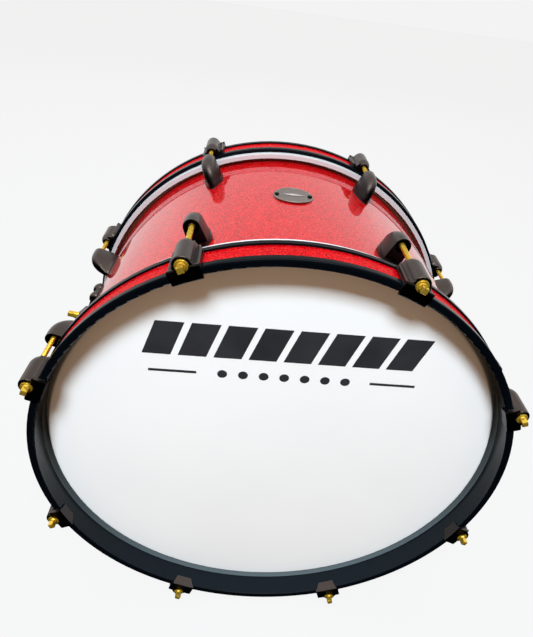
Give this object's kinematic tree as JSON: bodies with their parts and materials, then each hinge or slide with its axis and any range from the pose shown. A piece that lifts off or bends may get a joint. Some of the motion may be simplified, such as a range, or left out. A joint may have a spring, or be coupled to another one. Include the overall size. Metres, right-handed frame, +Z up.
{
  "type": "bass drum",
  "caption": "Bass drum: cylindrical wrapped shell with a head and inlaid hoop at each end, claws and tension rods into lugs, a round badge and folding spur legs.",
  "frame": {"origin": "on the floor under the drum's centre, at the bottom centre of the bounding box", "axes": "+Z up, Y along the drum's axis with the front head towards -Y, X across between the spurs"},
  "size_m": [0.7214, 0.3876, 0.54],
  "materials": {
    "shell_wood": "satin",
    "red_sparkle_wrap": "gloss",
    "red_sparkle_inlay": "gloss",
    "black_lacquer": "gloss",
    "white_film": "satin",
    "flesh_hoop_aluminium": "satin",
    "black_nickel": "gloss",
    "gold_plating": "polished",
    "black_rubber": "matte",
    "badge_silver": "satin",
    "black_screw": "gloss",
    "zinc_screw": "satin",
    "black_chrome_tube": "gloss",
    "bright_chrome_leg": "polished"
  },
  "bodies": {
    "drum": {"shell": "shell_wood", "shell_wrap": "red_sparkle_wrap", "badge": "badge_silver", "badge_screws": "black_screw", "spur_gaskets": "black_rubber", "spur_screws": "zinc_screw", "front_hoop": "black_lacquer", "front_hoop_inlay": "red_sparkle_inlay", "front_head": "white_film", "front_flesh_hoop": "flesh_hoop_aluminium", "front_claw_pads": "black_rubber", "front_claws": "black_nickel", "front_lugs": "black_nickel", "front_lug_gaskets": "black_rubber", "front_lug_screws": "zinc_screw", "front_swivel_nuts": "gold_plating", "front_rod_washers": "gold_plating", "rear_hoop": "black_lacquer", "rear_hoop_inlay": "red_sparkle_inlay", "rear_head": "white_film", "rear_flesh_hoop": "flesh_hoop_aluminium", "rear_claw_pads": "black_rubber", "rear_claws": "black_nickel", "rear_lugs": "black_nickel", "rear_lug_gaskets": "black_rubber", "rear_lug_screws": "zinc_screw", "rear_swivel_nuts": "gold_plating", "rear_rod_washers": "gold_plating", "left_spur_base": "black_nickel", "right_spur_base": "black_nickel"},
    "front_rod_1": {"front_tension_rod_1": "gold_plating"},
    "front_rod_2": {"front_tension_rod_2": "gold_plating"},
    "front_rod_3": {"front_tension_rod_3": "gold_plating"},
    "front_rod_4": {"front_tension_rod_4": "gold_plating"},
    "front_rod_5": {"front_tension_rod_5": "gold_plating"},
    "front_rod_6": {"front_tension_rod_6": "gold_plating"},
    "front_rod_7": {"front_tension_rod_7": "gold_plating"},
    "front_rod_8": {"front_tension_rod_8": "gold_plating"},
    "rear_rod_1": {"rear_tension_rod_1": "gold_plating"},
    "rear_rod_2": {"rear_tension_rod_2": "gold_plating"},
    "rear_rod_3": {"rear_tension_rod_3": "gold_plating"},
    "rear_rod_4": {"rear_tension_rod_4": "gold_plating"},
    "rear_rod_5": {"rear_tension_rod_5": "gold_plating"},
    "rear_rod_6": {"rear_tension_rod_6": "gold_plating"},
    "rear_rod_7": {"rear_tension_rod_7": "gold_plating"},
    "rear_rod_8": {"rear_tension_rod_8": "gold_plating"},
    "left_spur": {"left_spur_arm": "black_nickel", "left_leg_tube": "black_chrome_tube", "left_leg_clamp": "black_nickel"},
    "left_leg": {"left_leg_rod": "bright_chrome_leg"},
    "left_foot": {"left_rubber_foot": "black_rubber"},
    "left_folding_bolt": {"left_spur_bolt": "gold_plating"},
    "right_spur": {"right_spur_arm": "black_nickel", "right_leg_tube": "black_chrome_tube", "right_leg_clamp": "black_nickel"},
    "right_leg": {"right_leg_rod": "bright_chrome_leg"},
    "right_foot": {"right_rubber_foot": "black_rubber"},
    "right_folding_bolt": {"right_spur_bolt": "gold_plating"}
  },
  "joints": [
    {"name": "front_rod_1_turn", "type": "hinge", "parent": "drum", "child": "front_rod_1", "pos_m": [-0.10581, -0.18, 0.52545], "axis": [0, -1, 0], "continuous": true},
    {"name": "front_rod_2_turn", "type": "hinge", "parent": "drum", "child": "front_rod_2", "pos_m": [-0.25545, -0.18, 0.37581], "axis": [0, -1, 0], "continuous": true},
    {"name": "front_rod_3_turn", "type": "hinge", "parent": "drum", "child": "front_rod_3", "pos_m": [-0.25545, -0.18, 0.16419], "axis": [0, -1, 0], "continuous": true},
    {"name": "front_rod_4_turn", "type": "hinge", "parent": "drum", "child": "front_rod_4", "pos_m": [-0.10581, -0.18, 0.01455], "axis": [0, -1, 0], "continuous": true},
    {"name": "front_rod_5_turn", "type": "hinge", "parent": "drum", "child": "front_rod_5", "pos_m": [0.10581, -0.18, 0.01455], "axis": [0, -1, 0], "continuous": true},
    {"name": "front_rod_6_turn", "type": "hinge", "parent": "drum", "child": "front_rod_6", "pos_m": [0.25545, -0.18, 0.16419], "axis": [0, -1, 0], "continuous": true},
    {"name": "front_rod_7_turn", "type": "hinge", "parent": "drum", "child": "front_rod_7", "pos_m": [0.25545, -0.18, 0.37581], "axis": [0, -1, 0], "continuous": true},
    {"name": "front_rod_8_turn", "type": "hinge", "parent": "drum", "child": "front_rod_8", "pos_m": [0.10581, -0.18, 0.52545], "axis": [0, -1, 0], "continuous": true},
    {"name": "rear_rod_1_turn", "type": "hinge", "parent": "drum", "child": "rear_rod_1", "pos_m": [0.10581, 0.18, 0.52545], "axis": [0, 1, 0], "continuous": true},
    {"name": "rear_rod_2_turn", "type": "hinge", "parent": "drum", "child": "rear_rod_2", "pos_m": [0.25545, 0.18, 0.37581], "axis": [0, 1, 0], "continuous": true},
    {"name": "rear_rod_3_turn", "type": "hinge", "parent": "drum", "child": "rear_rod_3", "pos_m": [0.25545, 0.18, 0.16419], "axis": [0, 1, 0], "continuous": true},
    {"name": "rear_rod_4_turn", "type": "hinge", "parent": "drum", "child": "rear_rod_4", "pos_m": [0.10581, 0.18, 0.01455], "axis": [0, 1, 0], "continuous": true},
    {"name": "rear_rod_5_turn", "type": "hinge", "parent": "drum", "child": "rear_rod_5", "pos_m": [-0.10581, 0.18, 0.01455], "axis": [0, 1, 0], "continuous": true},
    {"name": "rear_rod_6_turn", "type": "hinge", "parent": "drum", "child": "rear_rod_6", "pos_m": [-0.25545, 0.18, 0.16419], "axis": [0, 1, 0], "continuous": true},
    {"name": "rear_rod_7_turn", "type": "hinge", "parent": "drum", "child": "rear_rod_7", "pos_m": [-0.25545, 0.18, 0.37581], "axis": [0, 1, 0], "continuous": true},
    {"name": "rear_rod_8_turn", "type": "hinge", "parent": "drum", "child": "rear_rod_8", "pos_m": [-0.10581, 0.18, 0.52545], "axis": [0, 1, 0], "continuous": true},
    {"name": "left_spur_fold", "type": "hinge", "parent": "drum", "child": "left_spur", "pos_m": [-0.2738, 0.01, 0.33321], "axis": [0.9744, 0, -0.225], "range_deg": [-30, 90]},
    {"name": "left_leg_extend", "type": "slide", "parent": "left_spur", "child": "left_leg", "axis": [-0.225, 0, -0.9744], "range_m": [0, 0.08]},
    {"name": "left_foot_turn", "type": "hinge", "parent": "left_leg", "child": "left_foot", "pos_m": [-0.34691, 0.01, 0.01654], "axis": [-0.225, 0, -0.9744], "continuous": true},
    {"name": "left_folding_bolt_turn", "type": "hinge", "parent": "drum", "child": "left_folding_bolt", "pos_m": [-0.26795, 0.01, 0.33186], "axis": [-0.9744, 0, 0.225], "continuous": true},
    {"name": "right_spur_fold", "type": "hinge", "parent": "drum", "child": "right_spur", "pos_m": [0.2738, 0.01, 0.33321], "axis": [0.9744, 0, 0.225], "range_deg": [-30, 90]},
    {"name": "right_leg_extend", "type": "slide", "parent": "right_spur", "child": "right_leg", "axis": [0.225, 0, -0.9744], "range_m": [0, 0.08]},
    {"name": "right_foot_turn", "type": "hinge", "parent": "right_leg", "child": "right_foot", "pos_m": [0.34691, 0.01, 0.01654], "axis": [0.225, 0, -0.9744], "continuous": true},
    {"name": "right_folding_bolt_turn", "type": "hinge", "parent": "drum", "child": "right_folding_bolt", "pos_m": [0.26795, 0.01, 0.33186], "axis": [0.9744, 0, 0.225], "continuous": true}
  ]
}
